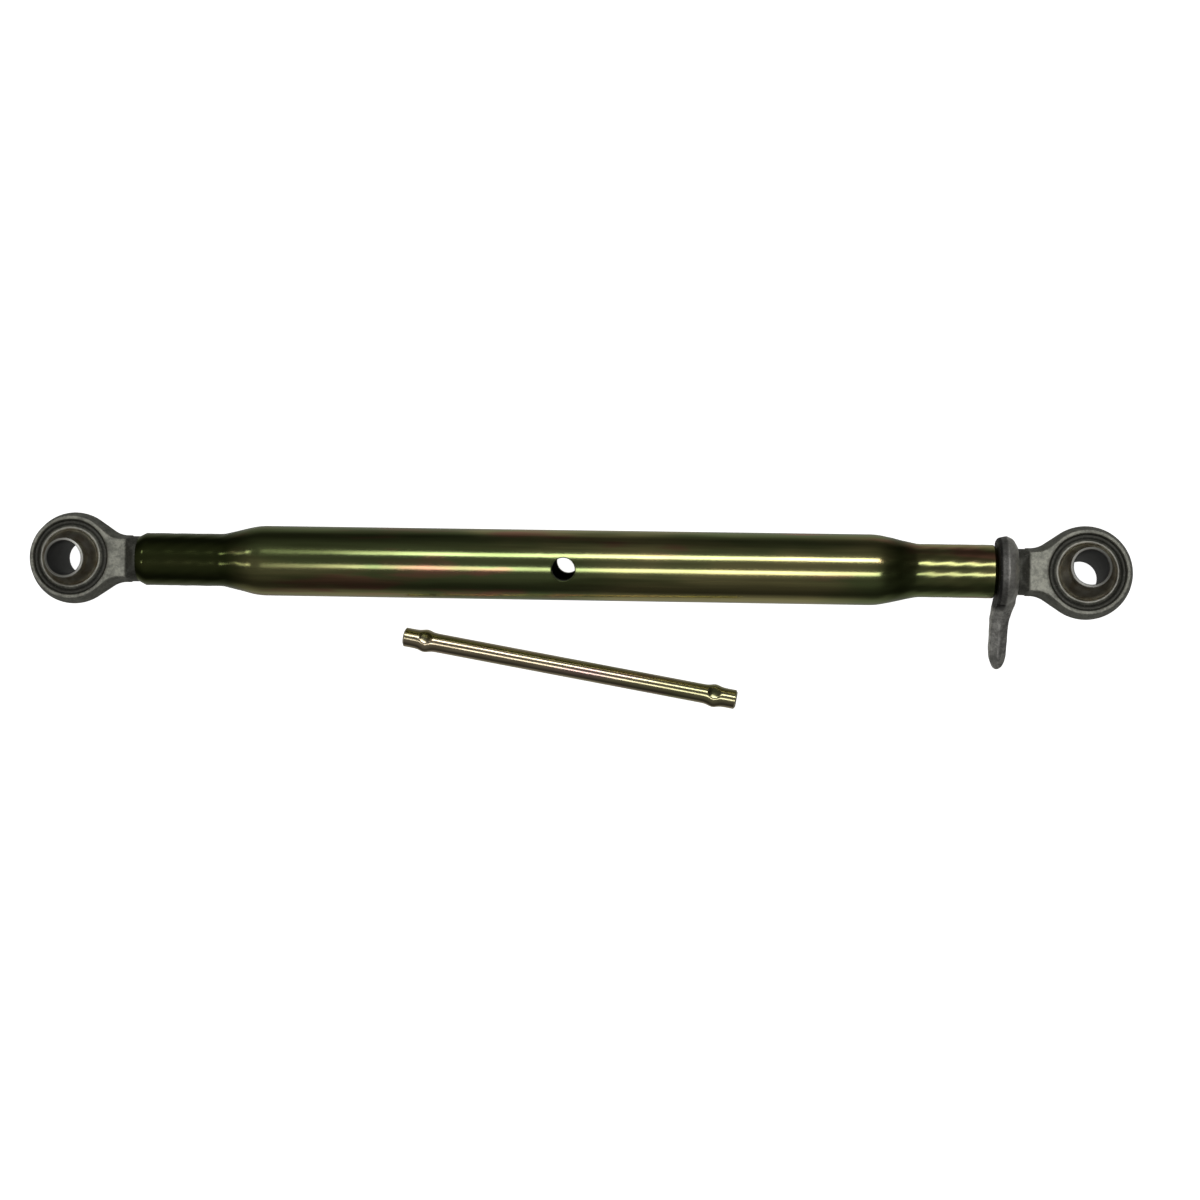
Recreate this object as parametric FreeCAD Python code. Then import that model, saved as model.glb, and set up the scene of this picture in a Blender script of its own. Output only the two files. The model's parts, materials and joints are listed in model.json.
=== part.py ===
import FreeCAD, Part
import math
import os

from FreeCAD import Vector

# A category 1 tractor top link: a swaged turnbuckle barrel with a left-hand and a
# right-hand threaded end rod, a staked ball joint in the eye of each rod, a lock nut
# forged with its lever, and the loose tommy bar that turns the barrel.
#
# Frame, in millimetres: the origin is the centre of the left ball, +X runs along the
# link to the right ball and +Z points up from the surface that the link lies on.
# Threads are plain cylinders at their major diameter.

# The link as a whole
CLOSED_LENGTH = 575.0            # ball centre to ball centre, screwed fully in
RUNNING_CLEARANCE = 0.05         # radial, between pieces that turn in each other

# Ball: a sphere with a hub each side, bored for a 3/4 inch hitch pin
PIN_BORE_DIAMETER = 19.3
BALL_WIDTH = 44.0
SPHERE_DIAMETER = 36.0
HUB_DIAMETER = 22.4
HUB_ROOT_RADIUS = 2.0
HUB_END_CHAMFER = 0.5
LEFT_BALL_TURN = 3.5             # degrees about +X, as the joints happen to stand
RIGHT_BALL_TURN = -5.3

# Eye: a drafted forging, widest at its parting plane z = 0
EYE_THICKNESS = 19.0
EYE_DIAMETER = 52.5              # at the parting plane
EYE_FACE_DIAMETER = 47.2         # at the two faces
FLANK_ANGLE = 34.0               # degrees from X, where the eye runs into the neck
FLANK_FACE_ANGLE = 40.0
NECK_WIDTH = 27.0
NECK_FACE_WIDTH = 21.6
NECK_FILLET = 14.0
FACE_EDGE_CHAMFER = 0.6

# Staking: a groove pressed in each face bends the lip inside it over the ball
GROOVE_OUTER_RADIUS = 21.8
GROOVE_FLOOR_OUTER_RADIUS = 20.9
GROOVE_FLOOR_INNER_RADIUS = 19.4
GROOVE_DEPTH = 2.4
LIP_CREST_RADIUS = 16.3          # the lip slopes from here down to the groove's floor
LIP_CREST_DROP = 0.15

# Collar and screw of the end rods
FLAT_END = 32.0                  # where the flat face starts to rise to the collar
COLLAR_OVERLAP = 4.0             # how far the collar's solid reaches into the neck
COLLAR_DIAMETER = 26.0
COLLAR_TRIM_END = 34.0           # where the forging has been turned down to the collar
COLLAR_RISE_ANGLE = 35.0
SHOULDER = 38.3                  # from the eye's centre to the end of the collar
THREAD_DIAMETER = 24.0
THREAD_LENGTH = 190.0
THREAD_TIP_CHAMFER = 2.0
THREAD_OVERLAP = 1.0             # how far the shank's solid reaches into the collar

# Lock nut with its lever
NUT_THICKNESS = 11.2
NUT_DIAMETER = 40.2              # over the parting ridge
NUT_RIDGE = 5.2                  # from the bearing face to the parting plane
NUT_BEARING_DIAMETER = 36.5
NUT_NOSE_DIAMETER = 30.0
NUT_DRAFT = 0.8                  # fall of the rim from the ridge to its bearing side
NUT_SIDE_START = 1.2             # from the bearing face to the drafted rim
NUT_EDGE_RADIUS = 1.5
NUT_RIDGE_RADIUS = 0.8
NUT_DOME = 2.6                   # how far the dome reaches back from the nose
NUT_BORE_CHAMFER = 0.8
LEVER_DIP = 17.0                 # degrees below the horizontal, pointing to -Y
LEVER_LENGTH = 56.8              # from the screw's axis to the tip
TIP_STEPS = 6                    # sections round the quarter ellipse of the tip
TIP_LEAST_SHRINK = 0.12          # the small flat left at its very end
LEVER_DRAFT = 2.6                # ridge above the lever's flat sides
LEVER_CORNER_RADIUS = 1.2
# distance from the axis, shift along X, thickness along X, width across
LEVER_STATIONS = (
    (10.0, 0.0, 10.2, 27.0),
    (17.0, 0.0, 10.2, 23.0),
    (22.0, -1.2, 10.1, 19.0),
    (27.0, -2.2, 9.9, 16.2),
    (34.0, -2.5, 9.6, 14.2),
    (40.0, -2.6, 9.6, 13.3),
    (46.0, -2.7, 9.4, 12.8),
)

# Barrel: a tube swaged down at both ends and tapped there
SWAGE_DIAMETER = 30.0
LEFT_SWAGE_LENGTH = 48.9
LEFT_TAPER_LENGTH = 20.5
RIGHT_SWAGE_LENGTH = 44.5
RIGHT_TAPER_LENGTH = 22.0
TUBE_DIAMETER = 40.0
TUBE_WALL = 4.5
INNER_TAPER_DELAY = 6.0          # the inner taper starts this far past the outer one
BARREL_END_CHAMFER = 1.2
BARREL_MOUTH_CHAMFER = 1.0       # at the start of the tapped bore
SWAGE_BEND_RADIUS = 18.0
TUBE_BEND_RADIUS = 40.0
INNER_SWAGE_BEND_RADIUS = 5.0
INNER_TUBE_BEND_RADIUS = 10.0
CROSS_HOLE_X = 283.5
CROSS_HOLE_DIAMETER = 13.0
CROSS_HOLE_CHAMFER = 0.6
CROSS_HOLE_TURN = 10.8           # degrees about +X from upright

# Tommy bar, lying in front of the link on the same surface
BAR_DIAMETER = 11.0
BAR_LENGTH = 195.0
BAR_END_CHAMFER = 1.0
BAR_CENTRE_X = 285.3
BAR_CENTRE_Y = -58.1
BAR_HEADING = -9.7               # degrees from +X
EAR_FROM_END = 13.0
EAR_SPAN = 12.9                  # across the two pinched ears
EAR_LENGTH = 19.2                # of the whole ellipsoid, half of it inside the bar
EAR_HEIGHT = 10.0
DIMPLE_BALL_RADIUS = 7.0
DIMPLE_DEPTH = 0.9
PINCH_TURN = 20.0                # the dimples' lean from upright towards +Y

# Worked out from the driving dimensions
LINK_AXIS = Vector(1, 0, 0)
UP = Vector(0, 0, 1)
ORIGIN = Vector(0, 0, 0)
FEMALE_THREAD_RADIUS = THREAD_DIAMETER / 2 + RUNNING_CLEARANCE
NUT_END = CLOSED_LENGTH - SHOULDER
BARREL_START = SHOULDER
BARREL_END = NUT_END - NUT_THICKNESS
MOST_TURN = math.radians(max(abs(LEFT_BALL_TURN), abs(RIGHT_BALL_TURN)))
HUB_EDGE_RADIUS = HUB_DIAMETER / 2 - HUB_END_CHAMFER
TABLE_Z = -BALL_WIDTH / 2 * math.cos(MOST_TURN) - HUB_EDGE_RADIUS * math.sin(MOST_TURN)


def across_xz(u, v):
    """Profile plane of pieces turned about X: u along X, v outwards."""
    return Vector(u, 0, v)


def rounded_wire(corners, place):
    """A closed outline through (u, v, radius) corners, each rounded by its radius."""
    joints = []
    for index, (u, v, radius) in enumerate(corners):
        here = Vector(u, v, 0)
        before = Vector(*corners[index - 1][:2], 0)
        after = Vector(*corners[(index + 1) % len(corners)][:2], 0)
        if radius == 0:
            joints.append((here, None, here))
            continue
        back = (before - here).normalize()
        ahead = (after - here).normalize()
        half_angle = back.getAngle(ahead) / 2
        reach = radius / math.tan(half_angle)
        inward = (back + ahead).normalize()
        middle = here + inward * (radius / math.sin(half_angle) - radius)
        joints.append((here + back * reach, middle, here + ahead * reach))
    edges = []
    for index, (first, middle, last) in enumerate(joints):
        first_point, last_point = place(first.x, first.y), place(last.x, last.y)
        if middle is not None:
            edges.append(Part.Arc(first_point, place(middle.x, middle.y), last_point).toShape())
        following = joints[(index + 1) % len(joints)][0]
        next_point = place(following.x, following.y)
        if last_point.distanceToPoint(next_point) > 1e-6:
            edges.append(Part.LineSegment(last_point, next_point).toShape())
    return Part.Wire(edges)


def turned(wire, axis):
    """The solid that a closed outline sweeps about an axis through the origin."""
    return Part.Face(wire).revolve(ORIGIN, axis, 360)


def eye_outline(radius, flank_angle, neck_half_width, height):
    """Plan of the eye: an arc, two tangent flanks and the neck, at one height."""
    lean = math.radians(flank_angle)
    touch = Vector(radius * math.sin(lean), radius * math.cos(lean), 0)
    neck_corner_x = touch.x + (touch.y - neck_half_width) / math.tan(lean)
    reach = NECK_FILLET * math.tan(lean / 2)
    bend = Vector(neck_corner_x - reach * math.cos(lean), neck_half_width + reach * math.sin(lean), 0)
    straight = Vector(neck_corner_x + reach, neck_half_width, 0)
    # the fillet's middle lies on the line from its centre to the sharp corner
    centre = Vector(straight.x, neck_half_width + NECK_FILLET, 0)
    corner = Vector(neck_corner_x, neck_half_width, 0)
    fillet_middle = centre + (corner - centre).normalize() * NECK_FILLET
    end = Vector(COLLAR_TRIM_END, neck_half_width, 0)

    def at(point, side):
        return Vector(point.x, side * point.y, height)

    edges = [
        Part.Arc(at(touch, 1), Vector(-radius, 0, height), at(touch, -1)).toShape(),
        Part.LineSegment(at(touch, -1), at(bend, -1)).toShape(),
        Part.Arc(at(bend, -1), at(fillet_middle, -1), at(straight, -1)).toShape(),
        Part.LineSegment(at(straight, -1), at(end, -1)).toShape(),
        Part.LineSegment(at(end, -1), at(end, 1)).toShape(),
        Part.LineSegment(at(end, 1), at(straight, 1)).toShape(),
        Part.Arc(at(straight, 1), at(fillet_middle, 1), at(bend, 1)).toShape(),
        Part.LineSegment(at(bend, 1), at(touch, 1)).toShape(),
    ]
    return Part.Wire(edges)


def staking_cut():
    """What staking takes from the upper face: the groove, and the lowered lip inside it."""
    face = EYE_THICKNESS / 2
    above = EYE_THICKNESS
    floor = face - GROOVE_DEPTH
    crest = face - LIP_CREST_DROP
    side = [
        (0, crest), (LIP_CREST_RADIUS, crest), (GROOVE_FLOOR_INNER_RADIUS, floor),
        (GROOVE_FLOOR_OUTER_RADIUS, floor), (GROOVE_OUTER_RADIUS, face),
        (GROOVE_OUTER_RADIUS, above), (0, above),
    ]
    corners = [Vector(r, 0, z) for r, z in side]
    return turned(Part.makePolygon(corners + corners[:1]), UP)


def eye_forging():
    """The drafted eye and neck, before its socket is cut."""
    half = EYE_THICKNESS / 2
    parting = eye_outline(EYE_DIAMETER / 2, FLANK_ANGLE, NECK_WIDTH / 2, 0)
    upper = eye_outline(EYE_FACE_DIAMETER / 2, FLANK_FACE_ANGLE, NECK_FACE_WIDTH / 2, half)
    lower = eye_outline(EYE_FACE_DIAMETER / 2, FLANK_FACE_ANGLE, NECK_FACE_WIDTH / 2, -half)
    forging = Part.makeLoft([lower, parting], True, True).fuse(Part.makeLoft([parting, upper], True, True))
    # a 45 degree cone turns the neck's corners down to the collar
    reach = COLLAR_TRIM_END + EYE_DIAMETER
    wide_end = COLLAR_DIAMETER / 2 + reach
    cone_start = Vector(COLLAR_TRIM_END - reach, 0, 0)
    envelope = Part.makeCone(wide_end, COLLAR_DIAMETER / 2, reach, cone_start, LINK_AXIS)
    forging = forging.common(envelope)
    # break the edges between both faces and the drafted sides, short of the turned corners
    face_edges = [
        edge
        for edge in forging.Edges
        if abs(abs(edge.CenterOfMass.z) - half) < 1e-6 and edge.BoundBox.XMax < COLLAR_TRIM_END - 0.1
    ]
    return forging.makeChamfer(FACE_EDGE_CHAMFER, face_edges)


def collar():
    """The round collar, with a flat on both sides that falls to the eye's faces."""
    start = FLAT_END - COLLAR_OVERLAP
    radius = COLLAR_DIAMETER / 2
    half = EYE_THICKNESS / 2
    top = FLAT_END + (radius - half) / math.tan(math.radians(COLLAR_RISE_ANGLE))
    side = [
        (start, -half), (FLAT_END, -half), (top, -radius), (SHOULDER, -radius),
        (SHOULDER, radius), (top, radius), (FLAT_END, half), (start, half),
    ]
    corners = [Vector(x, -radius, z) for x, z in side]
    flats = Part.Face(Part.makePolygon(corners + corners[:1])).extrude(Vector(0, 2 * radius, 0))
    round_bar = Part.makeCylinder(radius, SHOULDER - start, Vector(start, 0, 0), LINK_AXIS)
    return round_bar.common(flats)


def screw():
    """The threaded shank at its major diameter, with a chamfered tip."""
    radius = THREAD_DIAMETER / 2
    tip = SHOULDER + THREAD_LENGTH
    start = SHOULDER - THREAD_OVERLAP
    outline = rounded_wire(
        [
            (start, 0, 0),
            (start, radius, 0),
            (tip - THREAD_TIP_CHAMFER, radius, 0),
            (tip, radius - THREAD_TIP_CHAMFER, 0),
            (tip, 0, 0),
        ],
        across_xz,
    )
    return turned(outline, LINK_AXIS)


def end_rod():
    """Forged eye, collar and screw in one piece, its eye at the origin, pointing to +X."""
    body = eye_forging().fuse([collar(), screw()]).removeSplitter()
    socket = Part.makeSphere(SPHERE_DIAMETER / 2 + RUNNING_CLEARANCE)
    upper = staking_cut()
    lower = upper.mirror(ORIGIN, UP)
    return body.cut([socket, upper, lower])


def ball():
    """Bored sphere with a hub each side, the bore along Z."""
    sphere = SPHERE_DIAMETER / 2
    hub = HUB_DIAMETER / 2
    end = BALL_WIDTH / 2
    bore = PIN_BORE_DIAMETER / 2
    # the root fillet touches the sphere from outside and the hub's wall
    fillet_r = hub + HUB_ROOT_RADIUS
    fillet_z = math.sqrt((sphere + HUB_ROOT_RADIUS) ** 2 - fillet_r**2)
    share = sphere / (sphere + HUB_ROOT_RADIUS)
    on_sphere = Vector(fillet_r * share, 0, fillet_z * share)
    on_hub = Vector(hub, 0, fillet_z)
    fillet_centre = Vector(fillet_r, 0, fillet_z)
    towards = ((on_sphere + on_hub) * 0.5 - fillet_centre).normalize()
    fillet_middle = fillet_centre + towards * HUB_ROOT_RADIUS
    upper = [
        on_hub,
        Vector(hub, 0, end - HUB_END_CHAMFER),
        Vector(hub - HUB_END_CHAMFER, 0, end),
        Vector(bore + HUB_END_CHAMFER, 0, end),
        Vector(bore, 0, end - HUB_END_CHAMFER),
    ]
    lower = [Vector(point.x, 0, -point.z) for point in reversed(upper)]

    def below(point):
        return Vector(point.x, 0, -point.z)

    edges = [
        Part.Arc(below(on_sphere), Vector(sphere, 0, 0), on_sphere).toShape(),
        Part.Arc(on_sphere, fillet_middle, on_hub).toShape(),
        Part.Arc(below(on_hub), below(fillet_middle), below(on_sphere)).toShape(),
    ]
    outline = upper + lower
    for start, stop in zip(outline, outline[1:]):
        edges.append(Part.LineSegment(start, stop).toShape())
    return turned(Part.Wire(Part.__sortEdges__(edges)), UP)


def lever_section(distance, shift, thickness, width):
    """Rounded hexagon across the lever, its two ridges in the middle of its thickness."""
    half = thickness / 2
    ridge = width / 2
    flat = ridge - LEVER_DRAFT * thickness / NUT_THICKNESS
    radius = LEVER_CORNER_RADIUS * thickness / NUT_THICKNESS
    corners = [
        (0, ridge, radius), (half, flat, radius), (half, -flat, radius),
        (0, -ridge, radius), (-half, -flat, radius), (-half, flat, radius),
    ]
    return rounded_wire(corners, lambda x, z: Vector(x + shift, -distance, z))


def lever():
    """The tapering lever along -Y, with a rounded tip."""
    arm = Part.makeLoft([lever_section(*station) for station in LEVER_STATIONS], True, False)
    start, shift, thickness, width = LEVER_STATIONS[-1]
    tip_sections = []
    for step in range(TIP_STEPS + 1):
        angle = math.pi / 2 * step / TIP_STEPS
        distance = start + (LEVER_LENGTH - start) * math.sin(angle)
        shrink = max(math.cos(angle), TIP_LEAST_SHRINK)
        tip_sections.append(lever_section(distance, shift, thickness * shrink, width * shrink))
    return arm.fuse(Part.makeLoft(tip_sections, True, False))


def lever_lock_nut():
    """Ring with a flat bearing face, a parting ridge and a domed nose, and its lever."""
    ridge = NUT_DIAMETER / 2
    bore = FEMALE_THREAD_RADIUS
    outline = rounded_wire(
        [
            (0, bore, 0),
            (0, NUT_BEARING_DIAMETER / 2, NUT_EDGE_RADIUS),
            (NUT_SIDE_START, ridge - NUT_DRAFT, NUT_EDGE_RADIUS),
            (NUT_RIDGE, ridge, NUT_RIDGE_RADIUS),
            (NUT_THICKNESS - NUT_DOME, ridge - 2 * NUT_DRAFT, NUT_DOME),
            (NUT_THICKNESS, NUT_NOSE_DIAMETER / 2, NUT_EDGE_RADIUS),
            (NUT_THICKNESS, bore + NUT_BORE_CHAMFER, 0),
            (NUT_THICKNESS - NUT_BORE_CHAMFER, bore, 0),
        ],
        across_xz,
    )
    ring = turned(outline, LINK_AXIS)
    arm = lever()
    arm.translate(Vector(NUT_RIDGE, 0, 0))
    hole = Part.makeCylinder(bore, 3 * NUT_THICKNESS, Vector(-NUT_THICKNESS, 0, 0), LINK_AXIS)
    nut = ring.fuse(arm).cut(hole)
    nut.rotate(ORIGIN, LINK_AXIS, LEVER_DIP)
    nut.translate(Vector(BARREL_END, 0, 0))
    return nut


def swaged_end(swage_length, taper_length):
    """Outer and inner corners of one swaged end, from its face towards the middle."""
    swage = SWAGE_DIAMETER / 2
    bore = FEMALE_THREAD_RADIUS
    taper_end = swage_length + taper_length
    outside = [
        (0, bore + BARREL_MOUTH_CHAMFER, 0),
        (0, swage - BARREL_END_CHAMFER, 0),
        (BARREL_END_CHAMFER, swage, 0),
        (swage_length, swage, SWAGE_BEND_RADIUS),
        (taper_end, TUBE_DIAMETER / 2, TUBE_BEND_RADIUS),
    ]
    inside = [
        (taper_end + INNER_TAPER_DELAY, TUBE_DIAMETER / 2 - TUBE_WALL, INNER_TUBE_BEND_RADIUS),
        (swage_length + INNER_TAPER_DELAY, bore, INNER_SWAGE_BEND_RADIUS),
        (BARREL_MOUTH_CHAMFER, bore, 0),
    ]
    return outside, inside


def turnbuckle_barrel():
    """Swaged tube with tapped ends and the cross hole for the tommy bar."""
    length = BARREL_END - BARREL_START
    left_outside, left_inside = swaged_end(LEFT_SWAGE_LENGTH, LEFT_TAPER_LENGTH)
    right_outside, right_inside = [
        [(length - x, r, radius) for x, r, radius in reversed(corners)]
        for corners in swaged_end(RIGHT_SWAGE_LENGTH, RIGHT_TAPER_LENGTH)
    ]
    outline = rounded_wire(left_outside + right_outside + right_inside + left_inside, across_xz)
    barrel = turned(outline, LINK_AXIS)
    barrel.translate(Vector(BARREL_START, 0, 0))
    hole_base = Vector(CROSS_HOLE_X, 0, -TUBE_DIAMETER)
    hole = Part.makeCylinder(CROSS_HOLE_DIAMETER / 2, 2 * TUBE_DIAMETER, hole_base, UP)
    barrel = barrel.cut(hole)
    # the hole's outer rims: short edges near the hole, wholly outside the middle of the wall
    mid_wall = TUBE_DIAMETER / 2 - TUBE_WALL / 2
    rims = [
        edge
        for edge in barrel.Edges
        if edge.BoundBox.XLength < 2 * CROSS_HOLE_DIAMETER
        and abs(edge.BoundBox.Center.x - CROSS_HOLE_X) < CROSS_HOLE_DIAMETER
        and abs(edge.BoundBox.Center.z) > mid_wall
    ]
    barrel = barrel.makeChamfer(CROSS_HOLE_CHAMFER, rims)
    barrel.rotate(ORIGIN, LINK_AXIS, CROSS_HOLE_TURN)
    return barrel


def pinched_ears():
    """The two ears that a pinch squeezes out sideways: an ellipsoid across the bar."""
    stretch = FreeCAD.Matrix()
    stretch.scale(EAR_LENGTH / 2, EAR_SPAN / 2, EAR_HEIGHT / 2)
    return Part.makeSphere(1).transformGeometry(stretch)


def tommy_bar():
    """Round bar, chamfered, pinched near both ends so that it can't slide out."""
    radius = BAR_DIAMETER / 2
    half = BAR_LENGTH / 2
    chamfer = BAR_END_CHAMFER
    outline = rounded_wire(
        [
            (-half, 0, 0),
            (-half, radius - chamfer, 0),
            (-half + chamfer, radius, 0),
            (half - chamfer, radius, 0),
            (half, radius - chamfer, 0),
            (half, 0, 0),
        ],
        across_xz,
    )
    bar = turned(outline, LINK_AXIS)
    ears = []
    dimples = []
    for side in (-1, 1):
        place = Vector(side * (half - EAR_FROM_END), 0, 0)
        ear = pinched_ears()
        ear.translate(place)
        ears.append(ear)
        for face in (-1, 1):
            lift = face * (radius - DIMPLE_DEPTH + DIMPLE_BALL_RADIUS)
            dimples.append(Part.makeSphere(DIMPLE_BALL_RADIUS, place + Vector(0, 0, lift)))
    bar = bar.fuse(ears).cut(dimples)
    bar.rotate(ORIGIN, LINK_AXIS, -PINCH_TURN)
    bar.rotate(ORIGIN, UP, BAR_HEADING)
    bar.translate(Vector(BAR_CENTRE_X, BAR_CENTRE_Y, TABLE_Z + radius))
    return bar


def main():
    os.makedirs("parts", exist_ok=True)
    left_ball = ball()
    left_ball.rotate(ORIGIN, LINK_AXIS, LEFT_BALL_TURN)
    right_ball = ball()
    right_ball.rotate(ORIGIN, LINK_AXIS, RIGHT_BALL_TURN)
    right_ball.translate(Vector(CLOSED_LENGTH, 0, 0))
    right_rod = end_rod()
    right_rod.rotate(ORIGIN, UP, 180)
    right_rod.translate(Vector(CLOSED_LENGTH, 0, 0))
    nodes = {
        "left_hand_end_rod": end_rod(),
        "right_hand_end_rod": right_rod,
        "left_end_ball": left_ball,
        "right_end_ball": right_ball,
        "turnbuckle_barrel": turnbuckle_barrel(),
        "lever_lock_nut": lever_lock_nut(),
        "tommy_bar": tommy_bar(),
    }
    for name, shape in nodes.items():
        solid = shape.Solids[0]
        if len(shape.Solids) != 1 or not solid.isValid():
            raise RuntimeError(name + " is not one valid solid")
        solid.exportStep("parts/" + name + ".step")
        box = solid.BoundBox
        corners = (box.XMin, box.YMin, box.ZMin, box.XMax, box.YMax, box.ZMax)
        print(name, round(solid.Volume), [round(value, 2) for value in corners])


main()
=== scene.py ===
import json
import math

import bmesh
import bpy
import numpy as np
from bpy.props import FloatProperty, FloatVectorProperty, PointerProperty
from mathutils import Matrix, Vector


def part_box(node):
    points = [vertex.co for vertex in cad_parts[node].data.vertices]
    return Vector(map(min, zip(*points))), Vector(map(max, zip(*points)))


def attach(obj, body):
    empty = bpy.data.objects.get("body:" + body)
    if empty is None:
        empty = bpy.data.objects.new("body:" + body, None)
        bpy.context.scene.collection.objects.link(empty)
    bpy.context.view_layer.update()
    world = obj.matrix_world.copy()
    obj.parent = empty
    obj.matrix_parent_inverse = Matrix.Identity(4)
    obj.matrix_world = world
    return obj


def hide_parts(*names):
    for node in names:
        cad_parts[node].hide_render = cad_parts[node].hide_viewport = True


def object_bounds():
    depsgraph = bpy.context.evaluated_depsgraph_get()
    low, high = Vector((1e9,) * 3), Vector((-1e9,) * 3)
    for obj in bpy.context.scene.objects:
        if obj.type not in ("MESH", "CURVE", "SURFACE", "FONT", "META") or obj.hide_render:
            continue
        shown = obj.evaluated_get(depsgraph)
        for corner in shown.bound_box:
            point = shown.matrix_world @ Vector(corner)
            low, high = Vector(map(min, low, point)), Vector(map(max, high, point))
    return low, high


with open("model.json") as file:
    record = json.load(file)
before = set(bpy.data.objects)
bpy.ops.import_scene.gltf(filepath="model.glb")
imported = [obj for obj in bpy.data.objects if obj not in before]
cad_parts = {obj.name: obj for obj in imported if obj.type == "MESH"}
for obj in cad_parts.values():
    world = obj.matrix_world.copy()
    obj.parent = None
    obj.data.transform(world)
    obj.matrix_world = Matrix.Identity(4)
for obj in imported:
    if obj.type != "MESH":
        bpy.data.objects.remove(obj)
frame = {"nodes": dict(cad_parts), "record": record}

bl_info = {
    "name": "Tractor top link",
    "version": (1, 0, 0),
    "blender": (4, 5, 0),
    "location": "3D View > Sidebar > Top link",
    "description": "Builds the finished surfaces of a turnbuckle top link around its packed model",
    "category": "Add Mesh",
}

# ---------------------------------------------------------------------------------------
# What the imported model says. Shapes below are worked out in millimetres.

MM = 0.001
CAD_BOX = [[float(value) for value in corner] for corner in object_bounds()]
MOUNTS = {mount["name"]: mount for mount in frame["record"]["mounts"]}


def mount_place(name):
    """A mount's centre in millimetres and its axis, as arrays."""
    mount = MOUNTS[name]
    return np.array(mount["pos_m"]) / MM, np.array(mount["axis"])


def node_box(name):
    """Lowest and highest corner of a node in millimetres, as arrays."""
    low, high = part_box(name)
    return np.array(low) / MM, np.array(high) / MM


LEFT_CENTRE, LEFT_BORE_AXIS = mount_place("left_ball_bore")
RIGHT_CENTRE, RIGHT_BORE_AXIS = mount_place("right_ball_bore")
CROSS_HOLE_CENTRE, CROSS_HOLE_AXIS = mount_place("tommy_bar_hole")
BARREL_LOW, BARREL_HIGH = node_box("turnbuckle_barrel")
LEFT_ROD_HIGH = node_box("left_hand_end_rod")[1]
BAR_LOW, BAR_HIGH = node_box("tommy_bar")
PIN_BORE_RADIUS = MOUNTS["left_ball_bore"]["dims"]["r_mm"]
CROSS_HOLE_RADIUS = MOUNTS["tommy_bar_hole"]["dims"]["r_mm"]
TABLE_HEIGHT = CAD_BOX[0][2] / MM

SHOULDER = BARREL_LOW[0] - LEFT_CENTRE[0]    # from an eye's centre to its collar's end
SCREW_TIP = LEFT_ROD_HIGH[0] - LEFT_CENTRE[0]


# ---------------------------------------------------------------------------------------
# Sizes and colours that a user would change


class BarrelSettings(bpy.types.PropertyGroup):
    """Swaged turnbuckle barrel."""

    swage_lengths: FloatVectorProperty(
        name="Swage lengths", description="Length of the left and the right swaged end",
        size=2, default=(48.9 * MM, 44.5 * MM), unit="LENGTH",
    )
    taper_lengths: FloatVectorProperty(
        name="Taper lengths", description="Length of the left and the right cone up to the full tube",
        size=2, default=(20.5 * MM, 22.0 * MM), unit="LENGTH",
    )
    gold: FloatVectorProperty(
        name="Gold", description="Bright tone of the plating", default=(0.62, 0.56, 0.25), subtype="COLOR"
    )
    olive: FloatVectorProperty(
        name="Olive", description="Green tone of the plating", default=(0.30, 0.37, 0.15), subtype="COLOR"
    )
    rose: FloatVectorProperty(
        name="Rose", description="Reddish tone of the plating", default=(0.62, 0.30, 0.20), subtype="COLOR"
    )


class RodSettings(bpy.types.PropertyGroup):
    """Forged end rods."""

    pitch: FloatProperty(name="Pitch", description="Screw pitch", default=3.0 * MM, unit="LENGTH")
    forging_roughness: FloatProperty(
        name="Forging unevenness", description="Height of the forged faces' waves",
        default=0.06 * MM, unit="LENGTH",
    )
    steel: FloatVectorProperty(
        name="Steel", description="Main tone of the forging", default=(0.54, 0.54, 0.47), subtype="COLOR"
    )


class StageSettings(bpy.types.PropertyGroup):
    """Camera, floor and lights."""

    camera_distance: FloatProperty(
        name="Camera distance", description="From the camera to the link's middle",
        default=1.2216, unit="LENGTH",
    )
    lens: FloatProperty(name="Lens", description="Focal length in millimetres", default=64.56)
    floor_colour: FloatVectorProperty(
        name="Floor", description="Colour of the floor", default=(0.93, 0.93, 0.93), subtype="COLOR"
    )


# ---------------------------------------------------------------------------------------
# Grids and outlines


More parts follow.
